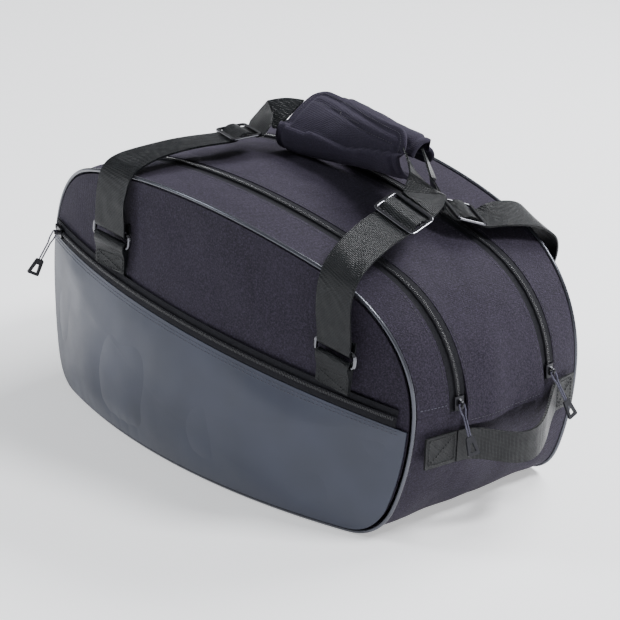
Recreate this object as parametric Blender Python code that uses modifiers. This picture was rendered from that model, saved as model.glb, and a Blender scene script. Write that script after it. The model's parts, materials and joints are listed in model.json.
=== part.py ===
"""Padel racket bag: a soft duffel with two zipped compartments, a zipped front pocket,
two carry handles on rings and a grab handle on one end.

Metres, +Z up. X runs along the bag, the front panel faces -Y, and the bag stands on z = 0.
Every body's wall is a sheet with its real thickness. The outline of the front and back
panels is a chain of tangent arcs, and the band between them is lofted over the two zips.
"""

import math

import bmesh
import bpy
from mathutils import Matrix, Vector

# Outline of the front and back panels, in the XZ plane.
HALF_LENGTH = 0.245
HEIGHT = 0.262
WIDEST_Z = 0.120
CORNER_R = 0.042
SIDE_R = 0.280
SHOULDER_R = 0.122

# Plan view.
DEPTH = 0.252
FRONT_BOW = 0.050  # how far the ends of the front panel curve back
BULGE = 0.009  # how far the band stands proud of the panels' outline at its ends
TOP_BULGE = 0.004  # and along the top
BOX_SHIFT_X = -0.0111  # centres the bounding box on the origin
BOX_SHIFT_Y = -0.0041

# Walls and gaps.
WALL = 0.0025
CLEAR = 0.0005  # between sewn neighbours
PIPING_R = 0.0022
DIVIDER_Y = -0.020
BOARD = 0.0025  # thickness of the stiff base
BOARD_HALF = 0.186

# Zips.
TAPE_WIDTH = 0.0085  # one stringer, tape and half the coil
TAPE_THICK = 0.0008
COIL_WIDTH = 0.0022
COIL_HEIGHT = 0.0018
COIL_GAP = 0.0002
ZIP_PLAN_BEND = 0.150  # beyond this x a zip runs straight in plan
ZIP_SHOULDER_R = 0.118
FRONT_ZIP_Y = (-0.0716, -0.0326)  # at the middle and at the ends
MAIN_ZIP_Y = (0.044, 0.080)
HEM_RUN = 0.0225  # share of the upper band by which the centre panel's hem hangs below the +X seam
HEM_RISE = 0.0036  # how far the hem stands off the panel below it

# Front pocket.
POCKET_ZIP_Z = 0.1455  # height of its zip at the middle of the bag
POCKET_ZIP_SLOPE = math.radians(4.4)  # down towards +X
POCKET_ZIP_SAG = 0.010  # how far the zip droops at its ends
POCKET_ZIP_REACH = 0.222  # half the length that the slider uses
POCKET_ZIP_END = 0.2395
POCKET_ZIP_STANDOFF = WALL / 2 + 0.0012  # the tape's back face, clear of the front panel
POCKET_WALL = 0.0014
POCKET_INSET = PIPING_R + CLEAR + 0.0003
POCKET_STANDOFF = 0.0012
POCKET_FULLNESS = 0.0080

# Sliders and pulls.
ZIP_SINK = 0.0016  # the tape's inner face below the band's surface
SLIDER_START = 0.012  # share of the lengthwise zip between the seam and its slider
SECOND_SLIDER = 0.490  # where the main zip's other slider stands
POCKET_HANG = (-0.20, -0.42, -0.88)
SLIDER_LENGTH = 0.0125
SLIDER_WIDTH = 0.0095
SLIDER_WALL = 0.0011
BAIL_HOLE_R = 0.0019
BAIL_WIRE = 0.0010
BAIL_HALF_WIDTH = 0.0011
PULL_CORD_R = 0.0008
PULL_CORD_LENGTH = 0.029
TAG_CORD_SPREAD = 0.0012
TAG_NEAR = 0.0085
TAG_FAR = 0.0125
TAG_LENGTH = 0.0165
TAG_THICK = 0.0018

# Webbing and hardware.
WEBBING = 0.038
WEBBING_THICK = 0.0018
RING_WIRE = 0.0019
RING_INSIDE = 0.0415
RING_RISE = 0.0135  # between the centre lines of a ring's two long bars
CHAPE_DROP = 0.027
CHAPE_FACE = 0.0036  # its sewn face behind the ring axis
RING_STANDOFF = 0.0093  # ring axis in front of the panel's face
GLIDE_LENGTH = 0.047
GLIDE_WIDTH = 0.030
GLIDE_THICK = 0.0022
GLIDE_END_BAR = 0.0034
GLIDE_CENTRE_BAR = 0.0036
GLIDE_STEPS = 16

# Carry handles: where each ring's axis crosses the middle of its webbing.
FRONT_RINGS = ((-0.097, 0.191), (0.180, 0.163))
BACK_RINGS = ((-0.096, 0.176), (0.176, 0.176))
PAD_THICK = 0.007

# Grab handle on the +X end.
GRAB_ENDS = ((-0.068, 0.088), (0.116, 0.101))  # y and z of its two ends
GRAB_PATCH = (0.034, 0.026)  # the sewn length at each end
GRAB_WALL = 0.2541  # the face that it is sewn to
GRAB_WIDTH = 0.029
GRAB_THICK = 0.0024
GRAB_BOW = 0.022
GRAB_SAG = 0.019

BOARD_COLOUR = (0.03, 0.03, 0.032)


# ---------------------------------------------------------------- outline


class Outline:
    """Half of a panel's edge as tangent arcs, from the bottom centre to the top centre."""

    def __init__(self, half, height, widest, corner, side, shoulder):
        self.half = half
        side_x = half - side
        flat = side_x + math.sqrt((side - corner) ** 2 - (widest - corner) ** 2)
        low = math.atan2(corner - widest, flat - side_x)
        inner = half - shoulder
        rise = height - widest
        top = (inner**2 + rise**2 - shoulder**2) / (2 * (rise - shoulder))
        high = math.atan2(widest - height + top, inner)
        self.shoulder_turn = high
        self.arcs = (
            ((flat, corner), corner, -math.pi / 2, low),
            ((side_x, widest), side, low, 0.0),
            ((inner, widest), shoulder, 0.0, high),
            ((0.0, height - top), top, high, math.pi / 2),
        )
        self.flat = flat
        self.lengths = [flat] + [r * (b - a) for _, r, a, b in self.arcs]
        self.total = sum(self.lengths)
        self.to_widest = sum(self.lengths[:3])

    def half_point(self, run):
        """Point and outward normal at this run from the bottom centre, on the +X half."""
        if run <= self.flat:
            return (run, 0.0), (0.0, -1.0)
        run -= self.flat
        for (centre, radius, start, end), length in zip(self.arcs, self.lengths[1:]):
            if run <= length or radius == self.arcs[-1][1]:
                angle = start + run / radius
                nx, nz = math.cos(angle), math.sin(angle)
                return (centre[0] + radius * nx, centre[1] + radius * nz), (nx, nz)
            run -= length
        return None

    def point(self, run):
        """Runs once round: 0 at the bottom centre, up the +X side, over, and down the -X side."""
        run %= 2 * self.total
        if run <= self.total:
            return self.half_point(run)
        (x, z), (nx, nz) = self.half_point(2 * self.total - run)
        return (-x, z), (-nx, nz)


PANEL = Outline(HALF_LENGTH, HEIGHT, WIDEST_Z, CORNER_R, SIDE_R, SHOULDER_R)
BOW_R = (HALF_LENGTH**2 + FRONT_BOW**2) / (2 * FRONT_BOW)
BACK_Y = DEPTH / 2


def front_y(x):
    """Depth of the front panel's face: an arc in plan."""
    return -DEPTH / 2 + BOW_R - math.sqrt(BOW_R**2 - x**2)


class ZipRun:
    """A lengthwise zip: its plan bends in the middle and runs straight over the shoulders,
    so that each shoulder is a true arc in a vertical plane and a slider can follow it."""

    def __init__(self, y_middle, y_end):
        end_x = HALF_LENGTH + BULGE
        self.y_middle = y_middle
        self.slope = (y_end - y_middle) / (end_x - ZIP_PLAN_BEND / 2)
        self.bend_length = self.plan_length(ZIP_PLAN_BEND)
        self.stretch = math.sqrt(1 + self.slope**2)
        half = self.bend_length + (end_x - ZIP_PLAN_BEND) * self.stretch
        self.radius = ZIP_SHOULDER_R
        self.profile = Outline(
            half, HEIGHT + TOP_BULGE, WIDEST_Z, CORNER_R, SIDE_R, self.radius
        )
        self.half = half
        self.top_radius = self.profile.arcs[-1][1]

    def plan_length(self, x, steps=24):
        total = 0.0
        for i in range(steps):
            at = x * (i + 0.5) / steps
            total += math.sqrt(1 + (self.slope * at / ZIP_PLAN_BEND) ** 2) * x / steps
        return total

    def plan_point(self, u):
        """Point and direction in plan at a signed distance from the middle."""
        away, sign = abs(u), math.copysign(1.0, u)
        if away > self.bend_length:
            x = ZIP_PLAN_BEND + (away - self.bend_length) / self.stretch
            slope = self.slope
            y = self.y_middle + self.slope * (x - ZIP_PLAN_BEND / 2)
        else:
            x = away / self.bend_length * ZIP_PLAN_BEND
            slope = self.slope * x / ZIP_PLAN_BEND
            y = self.y_middle + self.slope * x * x / (2 * ZIP_PLAN_BEND)
        along = Vector((sign, sign * slope * sign, 0)).normalized() * sign
        return Vector((sign * x, y, 0)), along

    def frame(self, t):
        """Position, direction and outward normal at t from 0, the +X seam, to 1, the -X seam."""
        upper = self.profile.total - self.profile.to_widest
        run = self.profile.to_widest + 2 * upper * t
        (u, z), (nu, nz) = self.profile.point(run)
        at, along = self.plan_point(u)
        normal = (along * nu + Vector((0, 0, nz))).normalized()
        tangent = (along * -nz + Vector((0, 0, nu))).normalized()
        return at + Vector((0, 0, z)), tangent, normal

    def shoulder_centre(self):
        at, _ = self.plan_point(self.half - self.radius)
        return Vector((at.x, at.y, WIDEST_Z))


FRONT_ZIP = ZipRun(*FRONT_ZIP_Y)
MAIN_ZIP = ZipRun(*MAIN_ZIP_Y)


def panel_frame(t, back=False):
    """Front or back panel's edge over the upper half, t as on the zips."""
    upper = PANEL.total - PANEL.to_widest
    (x, z), (nx, nz) = PANEL.point(PANEL.to_widest + 2 * upper * t)
    y = BACK_Y if back else front_y(x)
    return Vector((x, y, z)), Vector((nx, 0, nz))


def band_point(t, v):
    """Upper band's surface: a cubic across the front edge, the two zips and the back edge."""
    knots = (0.0, 0.22, 0.70, 1.0)
    points = (
        panel_frame(t)[0],
        FRONT_ZIP.frame(t)[0],
        MAIN_ZIP.frame(t)[0],
        panel_frame(t, back=True)[0],
    )
    found = Vector()
    for i, point in enumerate(points):
        weight = 1.0
        for j, knot in enumerate(knots):
            if i != j:
                weight *= (v - knot) / (knots[i] - knot)
        found += point * weight
    return found


def step_in(surface, v, gap):
    """The v that lies a gap further across a surface, a function of v, from its edge at v."""
    probe = math.copysign(0.02, gap)
    for _ in range(4):
        probe *= abs(gap) / (surface(v + probe) - surface(v)).length
    return v + probe


# ---------------------------------------------------------------- scene helpers


def clear_scene():
    for obj in list(bpy.data.objects):
        bpy.data.objects.remove(obj, do_unlink=True)


def collection(name):
    made = bpy.data.collections.new(name)
    bpy.context.scene.collection.children.link(made)
    return made


def material(name, colour, roughness, metallic=0.0):
    made = bpy.data.materials.new(name)
    made.use_nodes = True
    shader = made.node_tree.nodes["Principled BSDF"]
    shader.inputs["Base Color"].default_value = (*colour, 1.0)
    shader.inputs["Roughness"].default_value = roughness
    shader.inputs["Metallic"].default_value = metallic
    made.diffuse_color = (*colour, 1.0)
    return made


def add(name, data, look, place=None, into=None):
    obj = bpy.data.objects.new(name, data)
    obj.data.materials.append(look)
    if place is not None:
        obj.matrix_world = place
    (into or BAG).objects.link(obj)
    return obj


def mesh_from(name, points, faces):
    mesh = bpy.data.meshes.new(name)
    mesh.from_pydata([tuple(p) for p in points], [], faces)
    form = bmesh.new()
    form.from_mesh(mesh)
    bmesh.ops.remove_doubles(form, verts=form.verts, dist=1e-6)
    bmesh.ops.recalc_face_normals(form, faces=form.faces)
    form.to_mesh(mesh)
    form.free()
    mesh.shade_smooth()
    mesh.set_sharp_from_angle(angle=math.radians(35))
    return mesh


def grid_mesh(name, rows, outward):
    """Open sheet through rows of points, its faces turned to the side that outward points to."""
    mesh = bpy.data.meshes.new(name)
    wide = len(rows[0])
    points = [tuple(p) for row in rows for p in row]
    faces = []
    for i in range(len(rows) - 1):
        for j in range(wide - 1):
            a = i * wide + j
            faces.append((a, a + 1, a + wide + 1, a + wide))
    mesh.from_pydata(points, [], faces)
    middle = mesh.polygons[len(mesh.polygons) // 2]
    if middle.normal.dot(Vector(outward)) < 0:
        mesh.flip_normals()
    mesh.shade_smooth()
    return mesh


def sheet(name, rows, outward, thickness, look, place=None, offset=-1.0):
    """A wall: an open surface with its real thickness added on the inside."""
    obj = add(name, grid_mesh(name, rows, outward), look, place)
    solid = obj.modifiers.new("thickness", "SOLIDIFY")
    solid.thickness = thickness
    solid.offset = offset
    return obj


def disc(name, loop, rings, surface, outward, thickness, look):
    """A panel with a closed edge: the loop of (x, z) points shrinks in rings onto its middle."""
    count = len(loop)
    middle = Vector((sum(p[0] for p in loop) / count, sum(p[1] for p in loop) / count))
    points, faces = [], []
    for ring in range(rings):
        share = 1 - ring / rings
        for x, z in loop:
            at = middle + (Vector((x, z)) - middle) * share
            points.append(surface(at.x, at.y, share))
    points.append(surface(middle.x, middle.y, 0.0))
    for ring in range(rings - 1):
        for i in range(count):
            j = (i + 1) % count
            a, b = ring * count, (ring + 1) * count
            faces.append((a + i, a + j, b + j, b + i))
    last = (rings - 1) * count
    for i in range(count):
        faces.append((last + i, last + (i + 1) % count, len(points) - 1))
    mesh = mesh_from(name, points, faces)
    middle_face = mesh.polygons[len(mesh.polygons) - 1]
    if middle_face.normal.dot(Vector(outward)) < 0:
        mesh.flip_normals()
    obj = add(name, mesh, look)
    solid = obj.modifiers.new("thickness", "SOLIDIFY")
    solid.thickness = thickness
    solid.offset = -1.0
    return obj


def loft(name, sections, look):
    """Closed solid through a chain of closed sections, capped at both ends."""
    wide = len(sections[0])
    points = [p for section in sections for p in section]
    faces = []
    for i in range(len(sections) - 1):
        for j in range(wide):
            a, b = i * wide + j, i * wide + (j + 1) % wide
            faces.append((a, b, b + wide, a + wide))
    faces.append(tuple(range(wide)))
    faces.append(tuple(range(len(points) - wide, len(points))))
    return add(name, mesh_from(name, points, faces), look)


def tube(name, points, radius, look, cyclic=False, place=None, sides=2):
    """Round wire or cord along the points."""
    curve = bpy.data.curves.new(name, "CURVE")
    curve.dimensions = "3D"
    curve.bevel_depth = radius
    curve.bevel_resolution = sides
    curve.use_fill_caps = not cyclic
    spline = curve.splines.new("POLY")
    spline.points.add(len(points) - 1)
    for spot, point in zip(spline.points, points):
        spot.co = (*point, 1.0)
    spline.use_cyclic_u = cyclic
    return add(name, curve, look, place)


def plate(name, loops, half_depth, look, place=None, bevel=0.0, into=None):
    """Flat outline, with any holes, extruded both ways along its own Z."""
    curve = bpy.data.curves.new(name, "CURVE")
    curve.dimensions = "2D"
    curve.fill_mode = "BOTH"
    curve.extrude = half_depth - bevel
    curve.bevel_depth = bevel
    curve.bevel_resolution = 1
    curve.offset = -bevel
    for loop in loops:
        spline = curve.splines.new("POLY")
        spline.points.add(len(loop) - 1)
        for spot, (x, y) in zip(spline.points, loop):
            spot.co = (x, y, 0.0, 1.0)
        spline.use_cyclic_u = True
    return add(name, curve, look, place, into)


def as_mesh(obj):
    """The curve object made a welded mesh object in its place."""
    graph = bpy.context.evaluated_depsgraph_get()
    mesh = bpy.data.meshes.new_from_object(obj.evaluated_get(graph))
    form = bmesh.new()
    form.from_mesh(mesh)
    bmesh.ops.remove_doubles(form, verts=form.verts, dist=1e-6)
    bmesh.ops.recalc_face_normals(form, faces=form.faces)
    form.to_mesh(mesh)
    form.free()
    name, look, place = obj.name, obj.data.materials[0], obj.matrix_world.copy()
    into = obj.users_collection[0]
    bpy.data.objects.remove(obj, do_unlink=True)
    mesh.materials.clear()
    return add(name, mesh, look, place, into)


def rounded_rectangle(width, height, radius, steps=3, centre=(0.0, 0.0)):
    """Counter-clockwise loop of (x, y) points with round corners."""
    points = []
    corners = ((1, 1, 0), (-1, 1, 90), (-1, -1, 180), (1, -1, 270))
    for sx, sy, start in corners:
        cx = centre[0] + sx * (width / 2 - radius)
        cy = centre[1] + sy * (height / 2 - radius)
        for i in range(steps + 1):
            angle = math.radians(start + 90 * i / steps)
            points.append((cx + radius * math.cos(angle), cy + radius * math.sin(angle)))
    return points


CYCLE = Matrix(((0, 0, 1, 0), (1, 0, 0, 0), (0, 1, 0, 0), (0, 0, 0, 1)))  # outline XY to YZ


def circle(radius, count, start=0.0, turn=math.tau):
    steps = count if turn == math.tau else count - 1
    angles = [start + turn * i / steps for i in range(count)]
    return [(radius * math.cos(a), radius * math.sin(a)) for a in angles]


def axes(origin, x_axis, z_hint):
    """Frame with X along x_axis and Z as near as it can be to z_hint."""
    x_axis = Vector(x_axis).normalized()
    y_axis = Vector(z_hint).cross(x_axis).normalized()
    z_axis = x_axis.cross(y_axis)
    found = Matrix((x_axis, y_axis, z_axis)).transposed().to_4x4()
    found.translation = Vector(origin)
    return found


def pivot(name, at, axis, pieces, parent=None):
    """Empty on a joint's axis, X along it, that carries the pieces that turn about it."""
    empty = bpy.data.objects.new(name, None)
    empty.empty_display_size = 0.02
    empty.matrix_world = axes(at, axis, (0, 0, 1) if abs(axis.z) < 0.9 else (0, 1, 0))
    BAG.objects.link(empty)
    for piece in pieces:
        set_parent(bpy.data.objects[piece], empty)
    if parent:
        set_parent(empty, parent)
    return empty


def set_parent(obj, parent):
    obj.parent = parent
    obj.matrix_parent_inverse = parent.matrix_world.inverted()


# ---------------------------------------------------------------- walls

clear_scene()
BAG = collection("padel_bag")
CUTTERS = collection("cutters")
CUTTERS.hide_render = True

FABRIC = material("woven polyester", (0.047, 0.042, 0.060), 0.85)
COATED = material("coated pocket cloth", (0.165, 0.190, 0.240), 0.45)
PIPING = material("piping", (0.10, 0.105, 0.12), 0.45)
TAPE = material("zip tape", (0.012, 0.012, 0.015), 0.8)
WEB = material("webbing", (0.035, 0.041, 0.045), 0.55)
PAD_CLOTH = material("pad cloth", (0.050, 0.045, 0.062), 0.8)
LINING = material("lining", (0.10, 0.10, 0.11), 0.9)
BOARD_LOOK = material("base board", BOARD_COLOUR, 0.6)
METAL = material("gunmetal", (0.30, 0.31, 0.33), 0.3, 0.9)
SLIDER = material("slider metal", (0.03, 0.03, 0.034), 0.35, 0.8)
CORD = material("pull cord", (0.10, 0.10, 0.13), 0.7)
TAG = material("pull tag", (0.03, 0.03, 0.036), 0.4)


def upper_band(name, v_from, v_to, gap_from, gap_to, across, hem=0.0):
    """One strip of the upper band between two lengthwise lines, short of each by a gap. A hem
    carries on past the +X seam by that share of the band, standing off what it hangs over."""
    lengthwise = 36
    end = CLEAR / 2 / 0.66
    rows = []
    for i in range(lengthwise + 1):
        t = end - hem + (1 - 2 * end + hem) * i / lengthwise
        low = step_in(lambda v: band_point(t, v), v_from, gap_from)
        high = step_in(lambda v: band_point(t, v), v_to, -gap_to)
        row = [band_point(t, low + (high - low) * j / across) for j in range(across + 1)]
        share = min(1.0, max(0.0, (hem * 2 - t) / (hem * 1.5))) if hem else 0.0
        off = HEM_RISE * share * share * (3 - 2 * share)
        rows.append([point + Vector((off, 0, 0)) for point in row])
    return sheet(name, rows, (0, 0, 1), WALL, FABRIC)


def make_upper_band():
    edge = PIPING_R + CLEAR
    tape = TAPE_WIDTH + CLEAR
    upper_band("top_front_strip", 0.0, 0.22, edge, tape, 3)
    upper_band("top_centre_panel", 0.22, 0.70, tape, tape, 5, HEM_RUN)
    upper_band("top_back_strip", 0.70, 1.0, tape, edge, 3)


def base_point(run, v):
    """Lower band: the outline's lower part, proud by the band's bulge where it meets the seam."""
    (x, z), (nx, nz) = PANEL.point(run)
    seam = band_point(0.0 if x > 0 else 1.0, v)
    share = min(1.0, max(0.0, z / WIDEST_Z))
    share = share * share * (3 - 2 * share)
    flat_y = front_y(x) + (BACK_Y - front_y(x)) * v
    proud = (abs(seam.x) - HALF_LENGTH) * share
    y = flat_y + (seam.y - (front_y(HALF_LENGTH) + (BACK_Y - front_y(HALF_LENGTH)) * v)) * share
    return Vector((x + nx * proud, y, z + nz * proud))


def make_base():
    start = -(PANEL.to_widest - CLEAR / 2)
    rows = []
    lengthwise, across = 36, 5
    for i in range(lengthwise + 1):
        run = start * (1 - 2 * i / lengthwise)
        low = step_in(lambda v: base_point(run, v), 0.0, PIPING_R + CLEAR)
        high = step_in(lambda v: base_point(run, v), 1.0, -PIPING_R - CLEAR)
        rows.append([base_point(run, low + (high - low) * j / across) for j in range(across + 1)])
    sheet("base_panel", rows, (0, 0, -1), WALL, FABRIC)


def panel_loop(inset, count=56):
    loop = []
    for i in range(count):
        (x, z), (nx, nz) = PANEL.point(2 * PANEL.total * i / count)
        loop.append((x - nx * inset, max(z - nz * inset, 2 * PIPING_R + CLEAR + 0.0002)))
    return loop


def make_panels():
    loop = panel_loop(PIPING_R + CLEAR + 0.0004)
    half = WALL / 2
    disc("front_panel", loop, 4, lambda x, z, s: (x, front_y(x) - half, z), (0, -1, 0), WALL, FABRIC)
    disc("back_panel", loop, 2, lambda x, z, s: (x, BACK_Y + half, z), (0, 1, 0), WALL, FABRIC)


def make_piping():
    count = 84
    runs = [2 * PANEL.total * i / count for i in range(count)]
    spots = [PANEL.point(run)[0] for run in runs]
    # the cord stands inside the outline by its radius at the base, so that the bag rests on z = 0
    spots = [(x, max(z, PIPING_R)) for x, z in spots]
    tube("front_piping", [(x, front_y(x), z) for x, z in spots], PIPING_R, PIPING, True, sides=1)
    tube("back_piping", [(x, BACK_Y, z) for x, z in spots], PIPING_R, PIPING, True, sides=1)


def make_inside():
    inset = 0.007
    loop = [(x, max(z, 0.011)) for x, z in panel_loop(inset, 40)]
    disc("divider", loop, 1, lambda x, z, s: (x, DIVIDER_Y, z), (0, -1, 0), 0.003, LINING)
    outline = []
    for i in range(9):
        x = -BOARD_HALF + 2 * BOARD_HALF * i / 8
        outline.append((x, front_y(x) + 0.008))
    outline += [(BOARD_HALF, BACK_Y - 0.008), (-BOARD_HALF, BACK_Y - 0.008)]
    place = Matrix.Translation((0, 0, WALL + 0.001 + BOARD / 2))
    plate("base_board", [outline], BOARD / 2, BOARD_LOOK, place)


# ---------------------------------------------------------------- zips


def stringer_profile(side):
    """Section of one stringer: tape, then half a coil at the middle; out is away from the bag."""
    inner, outer = COIL_GAP / 2, TAPE_WIDTH
    tape_top = TAPE_THICK
    coil = inner + COIL_WIDTH
    shape = (
        (inner, 0.0),
        (outer, 0.0),
        (outer, tape_top),
        (coil, tape_top),
        (coil, tape_top + COIL_HEIGHT),
        (inner, tape_top + COIL_HEIGHT),
    )
    return [(side * a, out) for a, out in shape]


def stringer(name, frames, side):
    sections = []
    for at, across, normal in frames:
        base = at - normal * ZIP_SINK
        sections.append([base + across * a + normal * out for a, out in stringer_profile(side)])
    return loft(name, sections, TAPE)


def band_across(tangent, t, v):
    """The way across a lengthwise zip on the band, towards the back, and the way out."""
    across = (band_point(t, v + 0.02) - band_point(t, v - 0.02)).normalized()
    across = (across - tangent * across.dot(tangent)).normalized()
    return across, across.cross(tangent)


def band_zip_frames(zip_run, v, count=40):
    """Frames along a lengthwise zip: its line, the way across it on the band, and out."""
    frames = []
    end = CLEAR / 2 / 0.66
    for i in range(count + 1):
        t = end + (1 - 2 * end) * i / count
        at, tangent, _ = zip_run.frame(t)
        frames.append((at, *band_across(tangent, t, v)))
    return frames


def pocket_arc():
    """The pocket zip's arc: centre, radius, start direction, and the axis that it turns about."""
    along = Vector((math.cos(POCKET_ZIP_SLOPE), 0, -math.sin(POCKET_ZIP_SLOPE)))
    down = Vector((-math.sin(POCKET_ZIP_SLOPE), 0, -math.cos(POCKET_ZIP_SLOPE)))
    reach = HALF_LENGTH / math.cos(POCKET_ZIP_SLOPE)
    toward = Vector((0, FRONT_BOW, 0)) + down * POCKET_ZIP_SAG
    depth = toward.length
    toward.normalize()
    radius = (reach**2 + depth**2) / (2 * depth)
    middle = Vector((0, -DEPTH / 2 - POCKET_ZIP_STANDOFF, POCKET_ZIP_Z))
    return middle + toward * radius, radius, along, toward


def pocket_frame(s):
    """Frame at a distance s along the pocket zip from its middle, + towards +X."""
    centre, radius, along, toward = pocket_arc()
    angle = s / radius
    at = centre + along * radius * math.sin(angle) - toward * radius * math.cos(angle)
    tangent = along * math.cos(angle) + toward * math.sin(angle)
    out_hint = Vector((at.x / BOW_R, -math.sqrt(1 - (at.x / BOW_R) ** 2), 0))
    across = tangent.cross(out_hint).normalized()
    if across.z < 0:
        across = -across
    normal = tangent.cross(across)
    if normal.dot(out_hint) < 0:
        normal = -normal
    return at, tangent, across, normal


def make_zips():
    for name, zip_run, v in (("front_zip", FRONT_ZIP, 0.22), ("main_zip", MAIN_ZIP, 0.70)):
        frames = band_zip_frames(zip_run, v)
        stringer(f"{name}_stringer_front", frames, -1)
        stringer(f"{name}_stringer_back", frames, 1)
    frames = []
    for i in range(25):
        at, _, across, normal = pocket_frame(-POCKET_ZIP_END + 2 * POCKET_ZIP_END * i / 24)
        frames.append((at + normal * ZIP_SINK, across, normal))
    stringer("pocket_zip_stringer_upper", frames, 1)
    stringer("pocket_zip_stringer_lower", frames, -1)


def pocket_line_z(x):
    """Height of the pocket zip over a place along the bag."""
    _, radius, along, _ = pocket_arc()
    return pocket_frame(radius * math.asin(x / along.x / radius))[0].z


def pocket_side_run(sign):
    """Where the pocket panel's top edge meets its side: a run along the outline, by bisection."""
    low, high = PANEL.flat, PANEL.total - 0.12
    for _ in range(30):
        run = (low + high) / 2
        (x, z), (nx, nz) = PANEL.point(sign * run)
        x, z = x - nx * POCKET_INSET, z - nz * POCKET_INSET
        if z > pocket_line_z(x) - TAPE_WIDTH - CLEAR:
            high = run
        else:
            low = run
    return sign * low


def pocket_surface(x, z, share):
    """Pocket panel's face: near the front panel at its seams, and full in the middle."""
    full = POCKET_STANDOFF + POCKET_FULLNESS * (1 - share**2)
    return (x, front_y(x) - WALL / 2 - POCKET_WALL - full, z)


def make_pocket():
    """The pocket panel: the lower part of the front outline, up to the zip's lower tape."""
    right, left = pocket_side_run(1), pocket_side_run(-1)
    loop = []
    for i in range(41):
        (x, z), (nx, nz) = PANEL.point(right + (left - right) * i / 40)
        loop.append((x - nx * POCKET_INSET, max(z - nz * POCKET_INSET, 2 * PIPING_R + CLEAR)))
    start, end = loop[-1][0], loop[0][0]
    for i in range(1, 16):
        x = start + (end - start) * i / 16
        loop.append((x, pocket_line_z(x) - TAPE_WIDTH - CLEAR))
    disc("pocket_panel", loop, 5, pocket_surface, (0, -1, 0), POCKET_WALL, COATED)


# ---------------------------------------------------------------- sliders and pulls


def slider_place(at, tangent, normal, sink=ZIP_SINK):
    """Frame of a slider: X along the zip, Z out, its origin on the tape's inner face."""
    return axes(at - normal * sink, tangent, normal)


def make_slider(name, place):
    """Slider body astride the coil, with a bail whose hole runs across the zip. It gives the
    middle of the hole and the middle of the bail's crown."""
    inner, outer = SLIDER_WIDTH / 2 - SLIDER_WALL, SLIDER_WIDTH / 2
    skirt = TAPE_THICK + 0.0004
    roof = TAPE_THICK + COIL_HEIGHT + 0.0005
    top = roof + SLIDER_WALL
    profile = [
        (-outer, skirt), (-inner, skirt), (-inner, roof), (inner, roof),
        (inner, skirt), (outer, skirt), (outer, top - 0.0006), (outer - 0.0006, top),
        (-outer + 0.0006, top), (-outer, top - 0.0006),
    ]
    body = as_mesh(plate(name, [profile], SLIDER_LENGTH / 2, SLIDER, place @ CYCLE))
    height = top + BAIL_HOLE_R + 0.0002
    foot = BAIL_HOLE_R + BAIL_WIRE + 0.0018
    hump = [(-foot, top - 0.0008)]
    for x, y in circle(BAIL_HOLE_R + BAIL_WIRE, 9, math.pi, -math.pi):
        hump.append((x, height + y))
    hump.append((foot, top - 0.0008))
    hole = [(x, height + y) for x, y in circle(BAIL_HOLE_R, 12)]
    turn = Matrix(((1, 0, 0, 0), (0, 0, -1, 0), (0, 1, 0, 0), (0, 0, 0, 1)))
    bail = plate(f"{name}_bail", [hump, hole], BAIL_HALF_WIDTH, SLIDER, place @ turn, into=CUTTERS)
    bail = as_mesh(bail)
    bail.hide_render = True
    bail.display_type = "WIRE"
    join = body.modifiers.new("bail", "BOOLEAN")
    join.operation = "UNION"
    join.object = bail
    crown = height + BAIL_HOLE_R + BAIL_WIRE / 2
    return place @ Vector((0, 0, height)), place @ Vector((0, 0, crown))


def make_pull(prefix, pivot, spread, hang, start, legs):
    """Cord looped through the bail and a tag on its end, lying along the direction hang. The
    loop begins at start along it, and its two legs stand to either side along spread."""
    hang = Vector(hang).normalized()
    place = axes(pivot, hang, hang.cross(Vector(spread)))
    side = [
        (start, legs * 0.35), (start + 0.0004, legs * 0.8), (start + 0.0014, legs),
        (0.0060, legs), (0.0110, TAG_CORD_SPREAD), (PULL_CORD_LENGTH, TAG_CORD_SPREAD),
    ]
    points = [(x, -y, 0.0) for x, y in reversed(side)] + [(x, y, 0.0) for x, y in side]
    tube(f"{prefix}_pull_cord", points, PULL_CORD_R, CORD, place=place, sides=1)
    near, far = TAG_NEAR / 2, TAG_FAR / 2
    head = PULL_CORD_LENGTH + 0.0003
    tail = head + TAG_LENGTH
    outline = [
        (head, -near + 0.001), (head, near - 0.001), (head + 0.001, near),
        (tail - 0.001, far), (tail, far - 0.001),
        (tail, -far + 0.001), (tail - 0.001, -far), (head + 0.001, -near),
    ]
    window = [
        (head + 0.0055, -near + 0.0028), (head + 0.0055, near - 0.0028),
        (tail - 0.0028, far - 0.0032), (tail - 0.0028, -far + 0.0032),
    ]
    plate(f"{prefix}_pull_tag", [outline, window], TAG_THICK / 2, TAG, place)


def hang_pull(prefix, at, axis, hang, normal, slider_pivot):
    """The pull's pivot on its slider, turned so that a positive angle lifts it off the bag."""
    if axis.cross(Vector(hang)).dot(normal) < 0:
        axis = -axis
    pieces = (f"{prefix}_pull_cord", f"{prefix}_pull_tag")
    pivot(f"{prefix}_pull_axis", at, axis, pieces, slider_pivot)


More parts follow.
